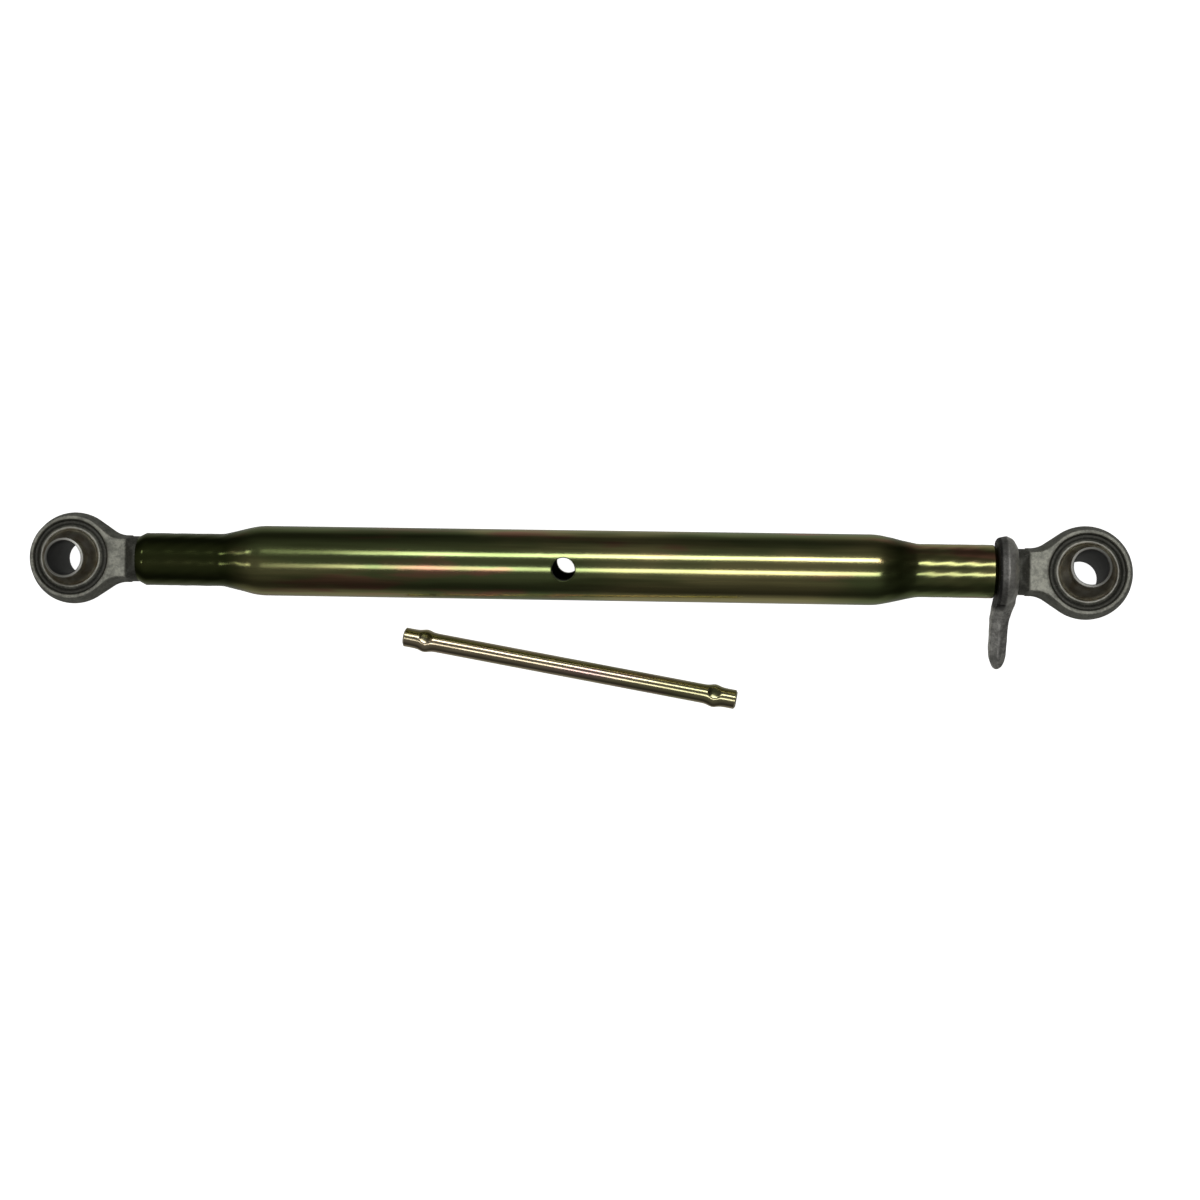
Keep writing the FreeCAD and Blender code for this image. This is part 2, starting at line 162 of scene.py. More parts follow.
def sampled_outline(corners, step, closed=False):
    """Points along a path through (u, v, radius) corners: straight runs, with an arc of the
    given radius at each corner. A run or arc gets one point for every step of its length."""
    corners = np.array(corners, float)
    count = len(corners)
    pieces = []
    for index, (u, v, radius) in enumerate(corners):
        here = np.array([u, v])
        if radius == 0 or (not closed and index in (0, count - 1)):
            pieces.append((here, here, here[None]))
            continue
        back = corners[index - 1, :2] - here
        ahead = corners[(index + 1) % count, :2] - here
        back /= np.linalg.norm(back)
        ahead /= np.linalg.norm(ahead)
        half = math.acos(np.clip(back @ ahead, -1, 1)) / 2
        reach = radius / math.tan(half)
        inward = (back + ahead) / np.linalg.norm(back + ahead)
        centre = here + inward * radius / math.sin(half)
        start = here + back * reach - centre
        turn = math.pi - 2 * half
        side = np.sign(start[0] * ahead[1] - start[1] * ahead[0])
        steps = max(3, int(round(radius * turn / step)))
        angle = side * np.linspace(0, turn, steps + 1)
        arc = np.stack(
            [
                start[0] * np.cos(angle) - start[1] * np.sin(angle),
                start[0] * np.sin(angle) + start[1] * np.cos(angle),
            ],
            1,
        )
        pieces.append((here + back * reach, here + ahead * reach, centre + arc))
    path = []
    for index in range(count):
        path.append(pieces[index][2])
        if index == count - 1 and not closed:
            break
        start, stop = pieces[index][1], pieces[(index + 1) % count][0]
        steps = max(1, int(round(np.linalg.norm(stop - start) / step)))
        share = np.linspace(0, 1, steps + 1)[1:-1, None]
        path.append(start + (stop - start) * share)
    points = np.concatenate(path)
    apart = np.linalg.norm(np.diff(points, axis=0), axis=1) > 1e-6
    return points[np.concatenate([[True], apart])]


def grid_quads(rows, columns, wrap_rows=False, wrap_columns=True, first=0):
    """Quads between neighbouring points of a rows by columns grid."""
    i = np.arange(rows if wrap_rows else rows - 1)
    j = np.arange(columns if wrap_columns else columns - 1)
    i, j = (side.ravel() for side in np.meshgrid(i, j, indexing="ij"))
    below, beside = (i + 1) % rows, (j + 1) % columns
    quads = [i * columns + j, i * columns + beside, below * columns + beside, below * columns + j]
    return first + np.stack(quads, 1)


def fan(ring, centre):
    """Triangles from a ring of point numbers to one centre point."""
    return np.stack([ring, np.roll(ring, -1), np.full(len(ring), centre)], 1)


def about_x(axial, radius, angle):
    """Points at an axial place, a radius and an angle about X, which starts at +Y."""
    return np.stack(np.broadcast_arrays(axial, radius * np.cos(angle), radius * np.sin(angle)), -1)


def turned_to(points, axis):
    """Points with their Z axis laid along another axis, by the shortest turn."""
    turn = Vector((0, 0, 1)).rotation_difference(Vector(axis)).to_matrix()
    return points @ np.array(turn).T


def waves(points, length, seed, count=12):
    """Smooth unevenness between about -1 and 1: a sum of sine waves in random directions."""
    rng = np.random.default_rng(seed)
    directions = rng.normal(size=(count, 3))
    directions /= np.linalg.norm(directions, axis=1)[:, None]
    lengths = length * rng.uniform(0.6, 1.6, count)
    phases = rng.uniform(0, 2 * math.pi, count)
    angle = points @ (directions / lengths[:, None]).T * 2 * math.pi + phases
    return np.sin(angle).sum(-1) / math.sqrt(count)


def new_piece(name, points, faces, body, material, sharp=35.0, attributes=None):
    """A smooth-shaded mesh piece from points in millimetres, riding on a body."""
    mesh = bpy.data.meshes.new(name)
    lists = [face for block in faces for face in block.tolist()]
    mesh.from_pydata((points.reshape(-1, 3) * MM).tolist(), [], lists)
    for key, values in (attributes or {}).items():
        layer = mesh.attributes.new(key, "FLOAT", "POINT")
        layer.data.foreach_set("value", np.ascontiguousarray(values, np.float32).ravel())
    finish_mesh(mesh, sharp)
    return place_piece(name, mesh, body, material)


def finish_mesh(mesh, sharp):
    """Faces outwards, smooth shading, and sharp edges where faces meet at more than the angle."""
    shape = bmesh.new()
    shape.from_mesh(mesh)
    bmesh.ops.recalc_face_normals(shape, faces=shape.faces)
    shape.to_mesh(mesh)
    shape.free()
    mesh.polygons.foreach_set("use_smooth", np.ones(len(mesh.polygons), bool))
    mesh.set_sharp_from_angle(angle=math.radians(sharp))
    mesh.update()


def place_piece(name, mesh, body, material):
    """Links a finished mesh at the origin and gives it its finish and its body."""
    piece = bpy.data.objects.new(name, mesh)
    bpy.context.scene.collection.objects.link(piece)
    mesh.materials.clear()
    mesh.materials.append(material)
    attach(piece, body)
    return piece


# ---------------------------------------------------------------------------------------
# Shader sheets


class Wire:
    """One output socket. Arithmetic on wires adds Math nodes to their sheet."""

    def __init__(self, sheet, socket):
        self.sheet = sheet
        self.socket = socket

    def math(self, operation, *terms):
        return self.sheet.add("ShaderNodeMath", {"operation": operation}, dict(enumerate(terms)))

    def __add__(self, other):
        return self.math("ADD", self, other)

    __radd__ = __add__

    def __sub__(self, other):
        return self.math("SUBTRACT", self, other)

    def __rsub__(self, other):
        return self.math("SUBTRACT", other, self)

    def __mul__(self, other):
        return self.math("MULTIPLY", self, other)

    __rmul__ = __mul__

    def clipped(self, low=0.0, high=1.0):
        """This value kept between two limits."""
        return self.math("MINIMUM", self.math("MAXIMUM", self, low), high)

    def ramp(self, low, high):
        """0 at low, 1 at high, and smooth between them."""
        settings = {"interpolation_type": "SMOOTHSTEP"}
        sockets = {"Value": self, "From Min": low, "From Max": high}
        return self.sheet.add("ShaderNodeMapRange", settings, sockets)


class Sheet:
    """A material's or world's nodes, added by one method."""

    def __init__(self, name, world=None):
        self.material = world or bpy.data.materials.new(name)
        self.material.use_nodes = True
        self.tree = self.material.node_tree
        self.shader = self.tree.nodes.get("Principled BSDF")

    def add(self, kind, settings, sockets, output=0):
        """A node with its settings, then the values or wires of its sockets."""
        node = self.tree.nodes.new(kind)
        for key, value in settings.items():
            if key == "stops":
                self.fill_ramp(node.color_ramp, value)
            else:
                setattr(node, key, value)
        for key, value in sockets.items():
            self.feed(node.inputs[key], value)
        return Wire(self, node.outputs[output])

    def fill_ramp(self, ramp, stops):
        while len(ramp.elements) < len(stops):
            ramp.elements.new(1.0)
        for element, (place, colour) in zip(ramp.elements, stops):
            element.position = place
            element.color = (*colour, 1.0)

    def feed(self, socket, value):
        if isinstance(value, Wire):
            self.tree.links.new(value.socket, socket)
        elif hasattr(socket.default_value, "__len__") and len(value) < len(socket.default_value):
            socket.default_value = (*value, 1.0)
        else:
            socket.default_value = value

    def place(self, scale=(1, 1, 1), shift=(0, 0, 0)):
        """Object coordinates, scaled and shifted."""
        coordinates = self.add("ShaderNodeTexCoord", {}, {}, "Object")
        sockets = {"Vector": coordinates, "Location": shift, "Scale": scale}
        return self.add("ShaderNodeMapping", {"vector_type": "POINT"}, sockets)

    def noise(self, scale, detail=3.0, roughness=0.5, stretch=(1, 1, 1), shift=(0, 0, 0)):
        """Noise from 0 to 1, scale waves per metre before stretching."""
        sockets = {
            "Vector": self.place(stretch, shift), "Scale": scale, "Detail": detail, "Roughness": roughness,
        }
        return self.add("ShaderNodeTexNoise", {}, sockets)

    def attribute(self, name):
        """A value stored on the mesh's points."""
        return self.add("ShaderNodeAttribute", {"attribute_name": name}, {}, "Fac")

    def mix(self, share, first, second):
        """A colour between two colours."""
        return self.add("ShaderNodeMix", {"data_type": "RGBA"}, {0: share, 6: first, 7: second}, 2)

    def bump(self, height, strength, distance):
        """A normal bent by a height in units of distance."""
        return self.add("ShaderNodeBump", {}, {"Height": height, "Strength": strength, "Distance": distance})

    def finish(self, **sockets):
        """Feeds the shader's own sockets, named with underscores for spaces."""
        for key, value in sockets.items():
            self.feed(self.shader.inputs[key.replace("_", " ")], value)
        return self.material


def zinc_plate(name, gold, olive, rose, seed):
    """Yellow chromate over zinc: a mirror-like film whose tint drifts between gold, green
    and rose in long patches. Where the piece marks it dark the tint turns dark green, which
    stands for a thicker dark film and for painted shade; where it says "pebbled" the steel
    under it is rough. Inside the bore painted shade makes it a near-black non-metal."""
    sheet = Sheet(name)
    drift = sheet.noise(14.0, 3.0, 0.55, (0.55, 1.9, 1.9), (seed, 0, 0))
    patches = sheet.noise(34.0, 3.0, 0.6, (0.35, 1.6, 1.6), (seed, 3, 1))
    bands = sheet.noise(75.0, 2.0, 0.5, (0.12, 1.2, 1.2), (seed, 7, 2))
    streaks = sheet.noise(300.0, 3.0, 0.6, (0.04, 1, 1), (seed, 1, 5))
    grain = sheet.noise(900.0, 2.0, 0.5, (0.15, 1, 1), (0, 0, seed))
    pebbles = sheet.noise(1300.0, 2.0, 0.6, (0.6, 1, 1), (seed, seed, 0))
    smoked = sheet.attribute("smoked")
    pebbled = sheet.attribute("pebbled")
    inside = sheet.attribute("inside")
    tint = sheet.mix(drift.ramp(0.40, 0.60), gold, olive)
    tint = sheet.mix(patches.ramp(0.54, 0.68) * 0.9, tint, rose)
    tint = sheet.mix(bands.ramp(0.56, 0.72) * 0.65, tint, (0.13, 0.17, 0.06))
    tint = sheet.mix(streaks.ramp(0.35, 0.75) * 0.35, tint, (0.11, 0.09, 0.035))
    # Dark green where the piece marks it dark, standing for a thicker dark film and for painted shade.
    tint = sheet.mix(smoked * (0.72 + patches * 0.5).clipped(), tint, (0.085, 0.105, 0.035))
    # Painted shade: near-black, not metallic and rough inside the bore.
    tint = sheet.mix(inside, tint, (0.012, 0.012, 0.010))
    rough = 0.12 + streaks * 0.05 + patches * 0.03 + inside * 0.55 + pebbled * 0.06
    relief = grain * 0.6 + streaks * 0.6 + pebbles * pebbled * 2.2
    return sheet.finish(
        Base_Color=tint, Metallic=1 - inside, Roughness=rough, Normal=sheet.bump(relief, 0.15, 0.00004)
    )


def forged_steel(name, steel, seed):
    """Dull scaled steel: mottled greenish grey with pits, darkened by painted shade where the piece
    marks shade, and lighter and smoother under a painted highlight where the piece marks one."""
    sheet = Sheet(name)
    light = tuple(min(1.0, value * 1.3) for value in steel)
    shade = tuple(value * 0.62 for value in steel)
    painted_shade_tone = tuple(value * 0.085 for value in steel)
    mottle = sheet.noise(160.0, 4.0, 0.6, (1, 1, 1), (seed, 0, 0))
    fine = sheet.noise(700.0, 3.0, 0.65, (1, 1, 1), (0, seed, 0))
    specks = sheet.noise(1100.0, 2.0, 0.5, (1, 1, 1), (0, 0, seed))
    recess = sheet.attribute("recess")
    rubbed = sheet.attribute("rubbed")
    tint = sheet.mix((mottle * 0.6 + fine * 0.4).ramp(0.36, 0.64), shade, light)
    # Painted shade: the tint goes nearly black where the piece marks shade, with a few light specks in it.
    tint = sheet.mix((recess * (0.85 + mottle * 0.3)).clipped(), tint, painted_shade_tone)
    tint = sheet.mix(specks.ramp(0.62, 0.74) * recess * 0.30, tint, light)
    # Painted highlight: a pale tone where the piece marks one; the roughness below drops there too.
    tint = sheet.mix(rubbed, tint, (0.66, 0.65, 0.60))
    rough = (0.50 + mottle * 0.14 - rubbed * 0.12).clipped(0.2, 0.8)
    pits = specks.ramp(0.30, 0.55)
    return sheet.finish(
        Base_Color=tint, Metallic=0.9, Roughness=rough,
        Normal=sheet.bump(mottle * 0.8 + fine * 0.5 + pits * 0.35, 0.45, 0.0002),
    )


def cut_steel(name, tone, seed):
    """Machine-cut steel: fine turning lines and a thin dark oil film, near black under painted shade and
    lighter under a painted highlight where the piece marks them.
    """
    sheet = Sheet(name)
    cloud = sheet.noise(130.0, 4.0, 0.6, (1, 1, 1), (seed, 0, 0))
    lines = sheet.noise(1500.0, 2.0, 0.5, (0.1, 0.1, 1), (0, seed, 0))
    recess = sheet.attribute("recess")
    rubbed = sheet.attribute("rubbed")
    tint = sheet.mix(cloud.ramp(0.35, 0.7), tone, (tone[0] * 0.62, tone[1] * 0.55, tone[2] * 0.45))
    # Painted shade: near black and barely metallic where the piece marks shade.
    tint = sheet.mix(recess, tint, (0.012, 0.013, 0.013))
    # Painted highlight: a pale tone where the piece marks one.
    tint = sheet.mix(rubbed, tint, (0.80, 0.80, 0.75))
    rough = 0.30 + cloud * 0.12 + rubbed * 0.16 + recess * 0.2
    return sheet.finish(
        Base_Color=tint, Metallic=1 - recess * 0.9, Roughness=rough, Normal=sheet.bump(lines, 0.2, 0.00005)
    )


# ---------------------------------------------------------------------------------------
# End rods: the forged eye and collar, and the screw

EYE_HALF_THICKNESS = 9.5
SOCKET_RADIUS = 18.05
COLLAR_RADIUS = 13.0
FLAT_END = 32.0
COLLAR_TURNED_FROM = 34.0
COLLAR_RISE = math.tan(math.radians(35.0))
FACE_INNER_RADIUS = 22.0
FLASH_LAND = 0.3
EDGE_SOFTNESS = 0.4
SCREW_RADIUS = 12.0
SCREW_DEPTH = 1.84
# radius, lean of the flanks in degrees, half width of the neck
PARTING_OUTLINE = (26.25, 34.0, 13.5)
FACE_OUTLINE = (23.6, 40.0, 10.8)
NECK_FILLET = 14.0
# (radius, height, corner radius) from the socket's edge over the staked lip and its groove
STAKED_LIP = (
    (15.90, 8.55, 0), (16.45, 9.45, 0.45), (17.2, 9.35, 0.6), (19.6, 7.15, 1.6),
    (20.9, 7.25, 0.8), (21.75, 9.38, 0.4), (FACE_INNER_RADIUS, 9.5, 0),
)


def outline_inset(x, y, outline):
    """How far a point lies inside the eye's outline. Round the eye it is the radius less the
    distance from the centre, beside a flank the distance to the tangent line, in the fillet
    the distance from the fillet's centre less its radius, and on the neck the half width
    less |y|."""
    radius, lean, half_width = outline
    y = np.abs(y)
    sine, cosine = math.sin(math.radians(lean)), math.cos(math.radians(lean))
    corner = radius * sine + (radius * cosine - half_width) * cosine / sine
    reach = NECK_FILLET * math.tan(math.radians(lean) / 2)
    bend_along = (corner - reach * cosine) * cosine - (half_width + reach * sine) * sine
    along = x * cosine - y * sine
    fillet_x, fillet_y = corner + reach, half_width + NECK_FILLET
    return np.select(
        [along < 0, along < bend_along, x < fillet_x],
        [
            radius - np.hypot(x, y),
            radius - x * sine - y * cosine,
            np.hypot(x - fillet_x, y - fillet_y) - NECK_FILLET,
        ],
        half_width - y,
    )


def soft_least(*values):
    """The least of several heights, rounded where two are close."""
    total = sum(np.exp(-np.minimum(value, 60.0) / EDGE_SOFTNESS) for value in values)
    return -EDGE_SOFTNESS * np.log(total)


def forging_height(x, y):
    """Height of the eye's upper surface over its parting plane: the least of the flat that
    rises to the collar, the drafted sides, which run straight from the parting outline to
    the face outline, and the round that the collar was turned to."""
    flat = EYE_HALF_THICKNESS + np.maximum(x - FLAT_END, 0) * COLLAR_RISE
    inset = outline_inset(x, y, PARTING_OUTLINE)
    face_inset = outline_inset(x, y, FACE_OUTLINE)
    draft_width = np.maximum(inset - face_inset, 0.5)
    drafted = EYE_HALF_THICKNESS * inset / draft_width
    drafted = np.where(x > COLLAR_TURNED_FROM, 60.0, drafted)
    turned_radius = COLLAR_RADIUS + np.maximum(COLLAR_TURNED_FROM - x, 0)
    turned = np.sqrt(np.maximum(turned_radius**2 - y**2, 0))
    return np.maximum(soft_least(flat, drafted, turned), 0)


def forging_plan(columns):
    """Points round the parting outline, and the angle at which each is joined to the eye's
    round face. Half of it runs from the eye's far side to the collar's end, then it is
    mirrored."""
    radius, lean, half_width = PARTING_OUTLINE
    step = math.radians(lean)
    touch = math.pi / 2 - step
    corner = radius * math.sin(step) + (radius * math.cos(step) - half_width) / math.tan(step)
    turned_x = COLLAR_TURNED_FROM - (half_width - COLLAR_RADIUS)
    round_count = int(columns * 0.26)
    side_count = int(columns * 0.17)
    end_count = columns // 2 - round_count - side_count
    angle = np.linspace(math.pi, touch, round_count, endpoint=False)
    round_part = np.stack([radius * np.cos(angle), radius * np.sin(angle)], 1)
    side = sampled_outline(
        [
            (radius * math.cos(touch), radius * math.sin(touch), 0),
            (corner, half_width, NECK_FILLET),
            (turned_x, half_width, 0),
            (COLLAR_TURNED_FROM, COLLAR_RADIUS, 0),
            (SHOULDER, COLLAR_RADIUS, 0),
        ],
        0.1,
    )
    along = np.concatenate([[0], np.cumsum(np.linalg.norm(np.diff(side, axis=0), axis=1))])
    places = np.linspace(0, along[-1], side_count, endpoint=False)
    side_part = np.stack([np.interp(places, along, side[:, k]) for k in (0, 1)], 1)
    across = np.linspace(COLLAR_RADIUS, 0, end_count, endpoint=False)
    end_part = np.stack([np.full(end_count, SHOULDER), across], 1)
    share = np.concatenate([places, along[-1] + COLLAR_RADIUS - across]) / (along[-1] + COLLAR_RADIUS)
    half = np.concatenate([round_part, side_part, end_part])
    half_angle = np.concatenate([angle, touch * (1 - share)])
    other = half[1:][::-1] * [1, -1]
    middle = np.array([[SHOULDER, 0.0]])
    outline = np.concatenate([half, middle, other])
    return outline, np.concatenate([half_angle, [0.0], -half_angle[1:][::-1]])


def eye_forging_surface(columns=420, face_rows=24, socket_rows=8):
    """The eye, neck and collar as one closed grid, with what the finish needs at each point.
    Each column runs from the socket over the staked lip, across the face to the parting
    outline, and back underneath as its mirror image."""
    outline, angle = forging_plan(columns)
    lip = sampled_outline(STAKED_LIP, 0.22)
    lip_radius, lip_height = lip[:, :1], lip[:, 1:]
    lip_rows = np.stack(
        np.broadcast_arrays(lip_radius * np.cos(angle), lip_radius * np.sin(angle), lip_height), -1
    )
    start = FACE_INNER_RADIUS * np.stack([np.cos(angle), np.sin(angle)], 1)
    share = 1 - (np.arange(face_rows - 1, -1, -1) / face_rows)[:, None, None] ** 1.6
    plan = start + (outline - start) * share
    height = forging_height(plan[..., 0], plan[..., 1])
    height = FLASH_LAND + height * (1 - FLASH_LAND / EYE_HALF_THICKNESS)
    face = np.concatenate([plan, height[..., None]], -1)
    upper = np.concatenate([lip_rows, face])
    edge = upper[-1:] * [1, 1, 1 / 3]
    lower = upper[::-1] * [1, 1, -1]
    socket_z = np.linspace(-STAKED_LIP[0][1], STAKED_LIP[0][1], socket_rows + 2)[1:-1, None]
    socket_r = np.sqrt(SOCKET_RADIUS**2 - socket_z**2)
    socket = np.stack(
        np.broadcast_arrays(socket_r * np.cos(angle), socket_r * np.sin(angle), socket_z), -1
    )
    points = np.concatenate([upper, edge, edge * [1, 1, -1], lower, socket])
    radius = np.hypot(points[..., 0], points[..., 1])
    height = np.abs(points[..., 2])
    # Painted shade, deeper the lower a point lies below the face: in the groove, at the groove's outer rim,
    # on the drafted flanks, on the collar past the flat and in the socket.
    depth = np.clip((EYE_HALF_THICKNESS - height) / 2.4, 0, 1)
    in_groove = np.clip((radius - 16.9) / 0.6, 0, 1) * np.clip((FACE_INNER_RADIUS - radius) / 0.2, 0, 1)
    groove = 0.86 * in_groove * np.clip(depth * 1.6, 0, 1)
    rim_shade = 0.35 * np.exp(-np.maximum(radius - 21.6, 0) / 1.3) * (radius > 21.6)
    outside = np.clip((radius - FACE_INNER_RADIUS) / 0.2, 0, 1)
    flank = 0.62 * outside * np.clip((9.25 - height) / 0.5, 0, 1)
    slope = 0.76 * np.clip((points[..., 0] - FLAT_END + 0.3) / 0.6, 0, 1)
    recess = np.maximum.reduce([groove, rim_shade, flank, slope])
    recess[-socket_rows:] = 0.9
    # Painted highlight: a light ring on the staked lip's crest and a fainter line along the face's outer
    # edge.
    rubbed = 0.9 * np.exp(-(((radius - 16.5) / 0.42) ** 2)) * (height > 9.0)
    face_edge = 0.25 * outside * np.exp(-(((height - 9.2) / 0.16) ** 2)) * (points[..., 0] < FLAT_END)
    rubbed = np.maximum(rubbed, face_edge)
    return points, recess, rubbed


def screw_surface(hand, pitch, columns=56, rows_per_pitch=12):
    """The threaded shank along +X. Its radius falls from the major radius by the thread's
    depth times a trapezoid wave of the phase x / pitch less the turn, for a right-hand
    thread, or plus it for a left-hand one. The wave fades out at the collar."""
    start, stop = SHOULDER - 0.8, SCREW_TIP
    rows = int((stop - start) / pitch * rows_per_pitch)
    x = np.linspace(start, stop, rows)[:, None]
    angle = np.linspace(0, 2 * math.pi, columns, endpoint=False)
    phase = (x / pitch - hand * angle / (2 * math.pi)) % 1
    from_root = np.abs(phase - 0.5) * 2
    ridge = np.clip((from_root - 0.25) / 0.625, 0, 1)
    full = np.clip((x - SHOULDER) / 4.0, 0, 1)
    radius = SCREW_RADIUS - SCREW_DEPTH * (1 - ridge) * full
    radius = np.minimum(radius, SCREW_RADIUS - 2.0 + (stop - x))
    points = about_x(x, radius, angle)
    # Painted shade in the thread's roots, fading out at the collar.
    recess = (1 - ridge) * full * 0.55
    return points, np.broadcast_to(recess, radius.shape)


class BuildEndRods(bpy.types.Operator):
    """Build both forged end rods with their screws"""

    bl_idname = "toplink.end_rods"
    bl_label = "End rods"

    def execute(self, context):
        settings = context.scene.toplink_rods
        steel = forged_steel("forged_rod_steel", settings.steel, 2.0)
        thread_steel = cut_steel("cut_thread_steel", (0.42, 0.41, 0.38), 5.0)
        eye, recess, rubbed = eye_forging_surface()
        quads = [grid_quads(*eye.shape[:2], wrap_rows=True)]
        ends = (
            ("left", "left_hand_end_rod", "left_rod", LEFT_CENTRE, 1, -1),
            ("right", "right_hand_end_rod", "right_rod", RIGHT_CENTRE, -1, 1),
        )
        for side, node, body, centre, way, hand in ends:
            turn = np.array([way, way, 1])
            uneven = settings.forging_roughness / MM * waves(eye, 9.0, 11 + hand)
            shape = (eye + uneven[..., None] * [0, 0, 1] * np.sign(eye[..., 2:])) * turn + centre
            # The eye's painted shade and painted highlight ride on the forging.
            finish = {"recess": recess, "rubbed": rubbed}
            forging = new_piece(
                side + "_eye_forging", shape, quads, body, steel, 40.0, finish
            )
            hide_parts(node)
            screw, root_shade = screw_surface(hand, settings.pitch / MM)
            rows, columns = screw.shape[:2]
            tips = np.array([[SHOULDER - 0.8, 0, 0], [SCREW_TIP, 0, 0]])
            points = np.concatenate([screw.reshape(-1, 3), tips]) * turn + centre
            first, last = np.arange(columns), (rows - 1) * columns + np.arange(columns)
            faces = [grid_quads(rows, columns), fan(first, rows * columns), fan(last, rows * columns + 1)]
            # Painted shade in the thread's roots rides on the screw.
            finish = {
                "recess": np.concatenate([root_shade.ravel(), [0, 0]]),
                "rubbed": np.zeros(rows * columns + 2),
            }
            new_piece(side + "_screw", points, faces, body, thread_steel, 30.0, finish)
        return {"FINISHED"}


# ---------------------------------------------------------------------------------------
# Balls

BALL_HALF_WIDTH = 22.0
SPHERE_RADIUS = 18.0
HUB_RADIUS = 11.2
HUB_ROOT_RADIUS = 2.0
HUB_EDGE = 0.5


def ball_profile(step=0.45):
    """Closed (z, r) path: the bore, the end ring, the hub, its root and the sphere."""
    fillet_r = HUB_RADIUS + HUB_ROOT_RADIUS
    fillet_z = math.sqrt((SPHERE_RADIUS + HUB_ROOT_RADIUS) ** 2 - fillet_r**2)
    root_angle = math.atan2(fillet_r, fillet_z)
    sphere_angle = np.linspace(math.pi / 2, root_angle, 28)
    sphere = SPHERE_RADIUS * np.stack([np.cos(sphere_angle), np.sin(sphere_angle)], 1)
    root_turn = np.linspace(root_angle, math.pi / 2, 7)[1:]
    around_root = np.stack([np.cos(root_turn), np.sin(root_turn)], 1)
    root = np.array([fillet_z, fillet_r]) - HUB_ROOT_RADIUS * around_root
    hub = sampled_outline(
        [
            (fillet_z, HUB_RADIUS, 0),
            (BALL_HALF_WIDTH, HUB_RADIUS, HUB_EDGE),
            (BALL_HALF_WIDTH, PIN_BORE_RADIUS, HUB_EDGE),
            (0, PIN_BORE_RADIUS, 0),
        ],
        step,
    )
    half = np.concatenate([sphere, root, hub[1:]])
    return np.concatenate([half, half[1:-1][::-1] * [-1, 1]])


class BuildBalls(bpy.types.Operator):
    """Build the two bored balls"""

    bl_idname = "toplink.balls"
    bl_label = "Balls"

    def execute(self, context):
        steel = cut_steel("ball_steel", (0.50, 0.47, 0.40), 9.0)
        profile = ball_profile()
        z, r = profile[:, :1], profile[:, 1:]
        angle = np.linspace(0, 2 * math.pi, 112, endpoint=False)
        points = np.stack(np.broadcast_arrays(r * np.cos(angle), r * np.sin(angle), z), -1)
        # Painted shade in the bore and a painted highlight on the end rings.
        in_bore = (r < PIN_BORE_RADIUS + 0.1) & (np.abs(z) < BALL_HALF_WIDTH - HUB_EDGE)
        on_ring = (np.abs(z) > BALL_HALF_WIDTH - 0.6) & ~in_bore
        finish = {
            "recess": np.broadcast_to(in_bore.astype(float), points.shape[:2]),
            "rubbed": np.broadcast_to(on_ring * 0.9, points.shape[:2]),
        }
        quads = [grid_quads(*points.shape[:2], wrap_rows=True)]
        ends = (
            ("left_end_ball", "left_ball", LEFT_CENTRE, LEFT_BORE_AXIS),
            ("right_end_ball", "right_ball", RIGHT_CENTRE, RIGHT_BORE_AXIS),
        )
        for node, body, centre, axis in ends:
            shape = turned_to(points, axis) + centre
            piece = new_piece(node + "_turned", shape, quads, body, steel, 30.0, finish)
            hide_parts(node)
        return {"FINISHED"}


# ---------------------------------------------------------------------------------------
# Barrel

SWAGE_RADIUS = 15.0
TUBE_RADIUS = BARREL_HIGH[1]
TUBE_BORE_RADIUS = 15.5
TAPPED_RADIUS = 12.05
BARREL_COLUMNS = 120
HOLE_PATCH_COLUMNS = 24
HOLE_PATCH_ROWS = 16
HOLE_EDGE = 0.6


def swaged_end(settings, side):
    """(x, r) corners of one half of the barrel, outside and inside, from its end."""
    swage = settings.swage_lengths[side] / MM
    taper = swage + settings.taper_lengths[side] / MM
    outside = [
        (0, TAPPED_RADIUS + 1, 0), (0, SWAGE_RADIUS, 2.0), (swage, SWAGE_RADIUS, 18),
        (taper, TUBE_RADIUS, 40),
    ]
    inside = [(taper + 6, TUBE_BORE_RADIUS, 10), (swage + 6, TAPPED_RADIUS, 5), (1, TAPPED_RADIUS, 0)]
    return outside, inside


def hole_patch(ring, middle_x, middle_angle, radius, rim):
    """Points between a round hole's rim and the rectangle of grid points round it, in rows
    that blend from one to the other over the tube's unrolled surface. A rim point at angle a
    round the hole lies at hole radius times (cos a, sin a) and drops onto the tube."""
    along = ring[:, 0] - middle_x
    around = (ring[:, 1] - middle_angle) * radius
    turn = np.arctan2(around, along)
    rim_along = rim * np.cos(turn)
    rim_around = radius * np.arcsin(rim * np.sin(turn) / radius)
    share = (np.linspace(0, 1, 8)[:-1] ** 1.4)[:, None]
    patch_along = rim_along + (along - rim_along) * share
    patch_around = rim_around + (around - rim_around) * share
    return about_x(middle_x + patch_along, radius, middle_angle + patch_around / radius)


